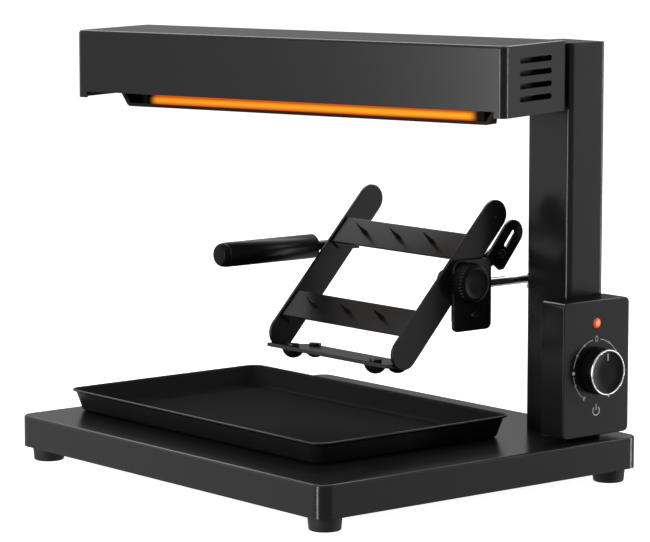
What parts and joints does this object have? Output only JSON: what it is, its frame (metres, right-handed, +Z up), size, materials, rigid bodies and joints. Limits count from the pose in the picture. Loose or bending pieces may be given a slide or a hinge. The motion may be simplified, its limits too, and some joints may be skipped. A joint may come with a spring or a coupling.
{
  "type": "raclette machine",
  "caption": "Table raclette melter: sheet-steel base with drip tray, post, swivelling quartz heating arm and a tilting food holder with lock knob and handle.",
  "frame": {"origin": "under the middle of the whole machine, on the surface that it stands on", "axes": "+Z up, +X along the control side towards the post, +Y away from the controls along the base's long side"},
  "size_m": [0.332, 0.43, 0.3572],
  "materials": {
    "coated_steel": "satin black powder coat on folded sheet steel",
    "tray_coating": "satin black non-stick coat",
    "zinc_steel": "zinc plated",
    "black_screw": "black oxide",
    "polished_metal": "polished plate",
    "reflector_aluminium": "bright rolled",
    "bush_bronze": "turned bronze",
    "foot_rubber": "moulded",
    "black_plastic": "moulded phenolic, satin",
    "indicator_red": "clear tinted lens",
    "quartz_glass": "quartz, lit",
    "glowing_coil": "glowing resistance wire",
    "lamp_ceramic": "heat-stained ceramic"
  },
  "bodies": {
    "stand": {"base_shell": "coated_steel", "base_plate": "coated_steel", "rubber_feet": "foot_rubber", "base_standoffs": "zinc_steel", "foot_screws": "zinc_steel", "post_tube": "coated_steel", "post_cap": "coated_steel", "post_foot_block": "zinc_steel", "post_stiffener": "zinc_steel", "post_bolts": "zinc_steel", "cord_gland": "black_plastic", "control_housing": "coated_steel", "control_back_plate": "coated_steel", "indicator_lens": "indicator_red", "indicator_lamp": "black_plastic", "heat_regulator": "black_plastic", "regulator_nut": "zinc_steel", "stand_screws": "zinc_steel", "swivel_bracket": "coated_steel", "swivel_bushes": "bush_bronze", "rod_clamp": "coated_steel", "rod_set_screw": "zinc_steel"},
    "heat_knob": {"control_knob": "black_plastic", "knob_ring": "polished_metal", "regulator_shaft": "zinc_steel"},
    "heating_arm": {"arm_housing": "coated_steel", "arm_bottom_plate": "reflector_aluminium", "arm_spacers": "zinc_steel", "shield_screws": "black_screw", "arm_hinge_bracket": "zinc_steel", "swivel_pin": "zinc_steel", "pin_ring": "zinc_steel", "lamp_trough": "coated_steel", "quartz_tube": "quartz_glass", "heating_coil": "glowing_coil", "lamp_end_blocks": "lamp_ceramic"},
    "rod_bracket": {"holder_rod": "polished_metal", "bracket_plate": "coated_steel", "bracket_spacer": "zinc_steel", "bracket_screw": "black_screw", "bracket_block": "coated_steel"},
    "tilt_lock": {"tilt_knob": "black_plastic", "tilt_stud": "zinc_steel"},
    "link": {"slotted_link": "coated_steel", "link_screw": "black_screw"},
    "holder": {"near_rail": "coated_steel", "far_rail": "coated_steel", "cross_plates": "coated_steel", "spikes": "coated_steel", "lower_stop": "coated_steel", "dome_nuts": "coated_steel", "rail_rivets": "coated_steel", "handle_arm": "coated_steel", "handle_grip": "black_plastic", "handle_end_cap": "black_plastic"},
    "tray": {"drip_tray": "tray_coating"}
  },
  "joints": [
    {"name": "arm_swivel", "type": "hinge", "parent": "stand", "child": "heating_arm", "pos_m": [0.069, -0.12648, 0.3242], "axis": [0, 0, 1], "range_deg": [-60, 0]},
    {"name": "heat_dial", "type": "hinge", "parent": "stand", "child": "heat_knob", "pos_m": [0.1242, -0.20128, 0.094], "axis": [0, 1, 0], "range_deg": [0, 290]},
    {"name": "rod_slide", "type": "slide", "parent": "stand", "child": "rod_bracket", "axis": [1, 0, 0], "range_m": [-0.008, 0.008]},
    {"name": "holder_tilt", "type": "hinge", "parent": "rod_bracket", "child": "holder", "pos_m": [0.0503, -0.12648, 0.1635], "axis": [0, 1, 0], "range_deg": [-20, 38]},
    {"name": "lock_turn", "type": "hinge", "parent": "rod_bracket", "child": "tilt_lock", "pos_m": [0.0503, -0.12648, 0.1635], "axis": [0, -1, 0], "range_deg": [0, 180]},
    {"name": "link_turn", "type": "hinge", "parent": "rod_bracket", "child": "link", "pos_m": [0.10695, -0.10748, 0.18041], "axis": [0, 1, 0], "range_deg": [-25, 20]},
    {"name": "tray_draw", "type": "slide", "parent": "stand", "child": "tray", "axis": [-1, 0, 0], "range_m": [0, 0.12]}
  ]
}
